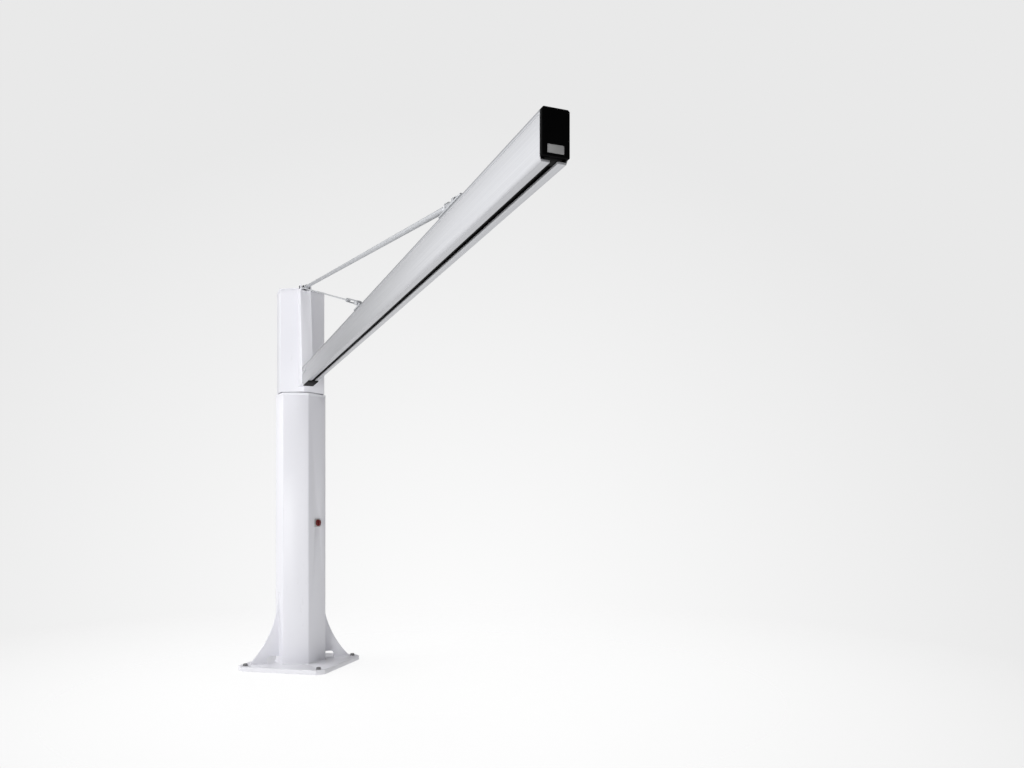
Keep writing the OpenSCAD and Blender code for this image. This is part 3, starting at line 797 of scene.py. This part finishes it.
switch = {"plateEdge": 0.0009, "boxEdge": 0.001, "screw": 0.0032, "screwHeight": 0.0016, "key": 0.0028,
          "inset": 0.007, "knob": 0.031, "knobBack": 0.005, "spindle": 0.006, "lobes": 12,
          "grip": (0.054, 0.0145, 0.017), "gripSunk": 0.002, "gripEdge": 0.0028, "gripTop": (0.90, 0.72)}
softened("switch_plate", "switch_cover", switch["plateEdge"], paleMoulding, "column")
softened("switch_box", "switch_housing", switch["boxEdge"], blackMoulding, "column")
side = up.cross(switchAxis).normalized()
plateHalf = (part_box("switch_plate")[1].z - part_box("switch_plate")[0].z) / 2
plateFront = max(v.co.dot(switchAxis) for v in frame["nodes"]["switch_plate"].data.vertices)
middle = switchPlace + switchAxis * (plateFront - switchPlace.dot(switchAxis))
bm = bmesh.new()
for a in (-1, 1):
    for b in (-1, 1):
        spot = middle + (side * a + up * b) * (plateHalf - switch["inset"])
        socketScrew(bm, standing(spot, switchAxis, chance.random()), switch["screw"],
                    switch["screwHeight"], switch["key"])
asPiece("switch_cover_screws", bm, zinc, "column")

knobMarks = [v.co.dot(switchAxis) for v in frame["nodes"]["switch_knob"].data.vertices]
knobTip = max(knobMarks) - middle.dot(switchAxis)
spindleIn = min(knobMarks) - middle.dot(switchAxis)
knobBack = switch["knobBack"]
gripLong, gripWide, gripDeep = switch["grip"]
discTop = knobTip - gripDeep + 0.001


def lobed(reach, height, depth):
    return lambda turn: (reach - depth * (0.5 + 0.5 * math.cos(switch["lobes"] * turn)), height)


bm = bmesh.new()
place = standing(middle, switchAxis)
r = switch["knob"]
ringSolid(bm, [circle(switch["spindle"], spindleIn), circle(switch["spindle"], knobBack),
               lobed(r - 0.003, knobBack, 0.0),
               lobed(r, knobBack + 0.0015, 0.0004), lobed(r, discTop - 0.004, 0.0012),
               lobed(r - 0.0015, discTop - 0.0012, 0.0010), lobed(r - 0.0045, discTop, 0.0004),
               circle(r - 0.009, discTop)], place, 72)
grip = bmesh.new()
bmesh.ops.create_cube(grip, size=1)
gripTall = gripDeep + switch["gripSunk"]
bmesh.ops.scale(grip, vec=(gripLong, gripWide, gripTall), verts=grip.verts)
for v in grip.verts:  # the grip narrows towards its top
    if v.co.z > 0:
        v.co.x *= switch["gripTop"][0]
        v.co.y *= switch["gripTop"][1]
bmesh.ops.bevel(grip, geom=list(grip.edges), offset=switch["gripEdge"], segments=4, profile=0.5,
                affect="EDGES")
upright = Matrix((side, switchAxis.cross(side), switchAxis)).transposed().to_4x4()
turnUp = Matrix.Rotation(math.radians(90), 4, "Z")
lift = Matrix.Translation((0, 0, knobTip - gripTall / 2))
bmesh.ops.transform(grip, matrix=Matrix.Translation(middle) @ upright @ lift @ turnUp, verts=grip.verts)
spare = bpy.data.meshes.new("grip")
grip.to_mesh(spare)
grip.free()
bm.from_mesh(spare)
bpy.data.meshes.remove(spare)
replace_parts(asPiece("switch_handle", bm, redMoulding, "switch"), "switch_knob")
print("switch made")


# floor, backdrop, light and camera

viewer = {"place": (8.193, -1.085, 1.517), "turn": 68.49, "lens": 29.88, "sensor": 36,
          "shiftUp": 0.117, "farthest": 300}
studio = {"floorReach": 9.0, "floorMiddle": (1.2, 0.9, 0), "floorDrop": 0.001, "fadeFrom": 1.0, "fadeTo": 5.8,
          "floorTone": 0.22, "floorGlow": 0.80, "domeReach": 70.0,
          "brightest": (-0.929, 0.302, -0.214), "domeNear": (1.0, 1.0, 1.0),
          "domeFar": (0.815, 0.815, 0.815), "spread": 37.0}


def stagePiece(name, bm, finish):
    thing = asObject(name, bm, finish)
    return thing


def glowing(tree, tone, strength=1.0):
    node = tree.nodes.new("ShaderNodeEmission")
    node.inputs["Strength"].default_value = strength
    if isinstance(tone, tuple):
        node.inputs["Color"].default_value = (*tone, 1)
    else:
        tree.links.new(tone, node.inputs["Color"])
    return node.outputs[0]


def together(tree, kind, first, second, amount=None):  # two shaders added, or mixed by an amount
    node = tree.nodes.new(kind)
    start = 0
    if amount:
        tree.links.new(amount, node.inputs[0])
        start = 1
    tree.links.new(first, node.inputs[start])
    tree.links.new(second, node.inputs[start + 1])
    return node.outputs[0]


def pointing(tree, vector, toward):  # cosine of the angle between two directions
    unit = tree.nodes.new("ShaderNodeVectorMath")
    unit.operation = "NORMALIZE"
    tree.links.new(vector, unit.inputs[0])
    dot = tree.nodes.new("ShaderNodeVectorMath")
    dot.operation = "DOT_PRODUCT"
    tree.links.new(unit.outputs["Vector"], dot.inputs[0])
    dot.inputs[1].default_value = Vector(toward).normalized()
    return dot.outputs["Value"]


# the floor fades out into the backdrop
bm = bmesh.new()
bmesh.ops.create_circle(bm, cap_ends=True, segments=96, radius=studio["floorReach"])
bmesh.ops.translate(bm, vec=Vector(studio["floorMiddle"]) - up * studio["floorDrop"],
                    verts=bm.verts)
floorFinish, tree, out = bareFinish("pale_floor")
matt = tree.nodes.new("ShaderNodeBsdfDiffuse")
matt.inputs["Color"].default_value = (*[studio["floorTone"]] * 3, 1)
clear = tree.nodes.new("ShaderNodeBsdfTransparent")
place = tree.nodes.new("ShaderNodeTexCoord")
distance = tree.nodes.new("ShaderNodeVectorMath")
distance.operation = "DISTANCE"
distance.inputs[1].default_value = studio["floorMiddle"]
tree.links.new(place.outputs["Object"], distance.inputs[0])
amount = ranged(tree, distance.outputs["Value"], studio["fadeFrom"], studio["fadeTo"], 0.0, 1.0)
glow = glowing(tree, (1.0, 1.0, 1.0), studio["floorGlow"])
near = together(tree, "ShaderNodeAddShader", matt.outputs[0], glow)
faded = together(tree, "ShaderNodeMixShader", near, clear.outputs[0], amount)
tree.links.new(faded, out.inputs["Surface"])
stagePiece("studio_floor", bm, floorFinish)

bm = bmesh.new()
bmesh.ops.create_uvsphere(bm, u_segments=96, v_segments=48, radius=studio["domeReach"])
bmesh.ops.translate(bm, vec=viewer["place"], verts=bm.verts)
domeFinish, tree, out = bareFinish("pale_backdrop")
place = tree.nodes.new("ShaderNodeTexCoord")
angle = tree.nodes.new("ShaderNodeMath")
angle.operation = "ARCCOSINE"
fromMiddle = tree.nodes.new("ShaderNodeVectorMath")
fromMiddle.operation = "SUBTRACT"
fromMiddle.inputs[1].default_value = viewer["place"]
tree.links.new(place.outputs["Object"], fromMiddle.inputs[0])
tree.links.new(pointing(tree, fromMiddle.outputs["Vector"], studio["brightest"]), angle.inputs[0])
away = ranged(tree, angle.outputs[0], 0.0, math.radians(studio["spread"]), 0.0, 1.0)
tone = blendOf(tree, away, studio["domeNear"], studio["domeFar"])
tree.links.new(glowing(tree, tone), out.inputs["Surface"])
dome = stagePiece("studio_backdrop", bm, domeFinish)
dome.visible_diffuse = False
dome.visible_glossy = False
dome.visible_transmission = False
dome.visible_shadow = False

# soft light from all round: a pale ground below, a dim room above, and a wide glow to one side
room = {"ground": 0.86, "air": 0.12, "glow": 1.50, "toward": (-0.414, -0.888, 0.20),
        "from": 0.53, "to": 0.97, "horizon": 0.03}
world = bpy.data.worlds.new("studio")
world.use_nodes = True
tree = world.node_tree
place = tree.nodes.new("ShaderNodeTexCoord")
glow = ranged(tree, pointing(tree, place.outputs["Generated"], room["toward"]), room["from"], room["to"],
              room["air"], room["air"] + room["glow"])
glow.node.interpolation_type = "SMOOTHSTEP"
height = tree.nodes.new("ShaderNodeSeparateXYZ")
tree.links.new(place.outputs["Generated"], height.inputs[0])
below = ranged(tree, height.outputs["Z"], -room["horizon"], 0.0, 1.0, 0.0)
pick = tree.nodes.new("ShaderNodeMix")
tree.links.new(below, pick.inputs[0])
tree.links.new(glow, pick.inputs[2])
pick.inputs[3].default_value = room["ground"]
tree.links.new(pick.outputs[0], tree.nodes["Background"].inputs["Strength"])
tree.nodes["Background"].inputs["Color"].default_value = (1, 1, 1, 1)
bpy.context.scene.world = world

softLights = {
    "front": {"from": (7.4, -5.2, 1.3), "to": (0.2, 0, 1.3), "size": 3.0, "power": 285, "mirrored": True},
    "over": {"from": (0.6, -0.6, 14.0), "to": (0.4, -0.4, 0), "size": 6.5, "power": 1150, "mirrored": False},
}
for name, look in softLights.items():
    lamp = bpy.data.lights.new(name, "AREA")
    lamp.shape = "SQUARE"
    lamp.size = look["size"]
    lamp.energy = look["power"]
    light = bpy.data.objects.new(name, lamp)
    light.location = look["from"]
    aim = Vector(look["to"]) - Vector(look["from"])
    light.rotation_euler = aim.to_track_quat("-Z", "Y").to_euler()
    light.visible_camera = False
    light.visible_glossy = look["mirrored"]
    bpy.context.scene.collection.objects.link(light)

camera = bpy.data.cameras.new("viewer")
camera.lens = viewer["lens"]
camera.sensor_width = viewer["sensor"]
camera.shift_y = viewer["shiftUp"]
camera.clip_end = viewer["farthest"]
stand = bpy.data.objects.new("viewer", camera)
stand.location = viewer["place"]
stand.rotation_euler = (math.radians(90), 0, math.radians(viewer["turn"]))
bpy.context.scene.collection.objects.link(stand)
bpy.context.scene.camera = stand
bpy.context.scene.view_settings.view_transform = "Standard"
print("studio made")
